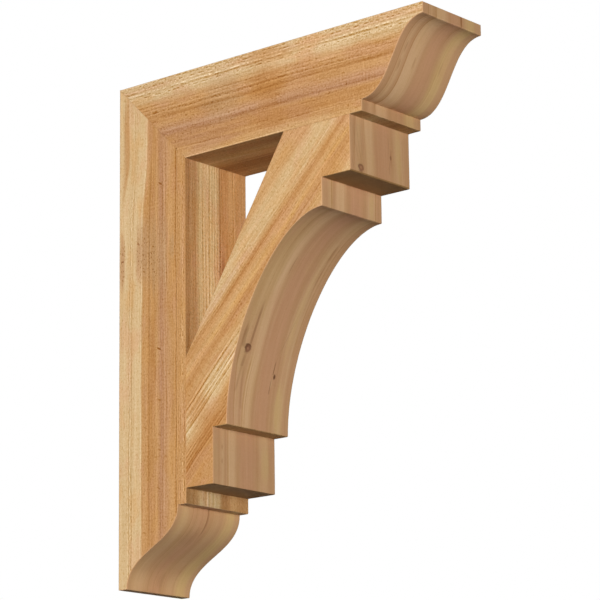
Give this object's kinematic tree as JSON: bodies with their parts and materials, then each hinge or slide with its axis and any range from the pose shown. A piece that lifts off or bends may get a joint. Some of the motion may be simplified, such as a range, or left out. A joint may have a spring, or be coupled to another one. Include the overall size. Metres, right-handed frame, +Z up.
{
  "type": "wooden corbel bracket",
  "caption": "Rough-sawn timber corbel bracket: a wall leg and a top arm mitred together, with cyma ends and a coved brace between them.",
  "frame": {"origin": "the centre of the leg's flat back face, which bears on the wall", "axes": "+X out from the wall, +Y across the width, +Z up"},
  "size_m": [0.6604, 0.1524, 0.8636],
  "materials": {
    "leg_cedar": "matte",
    "arm_cedar": "matte",
    "brace_cedar": "matte"
  },
  "bodies": {
    "root": {"leg": "leg_cedar", "arm": "arm_cedar", "brace": "brace_cedar"}
  },
  "joints": []
}
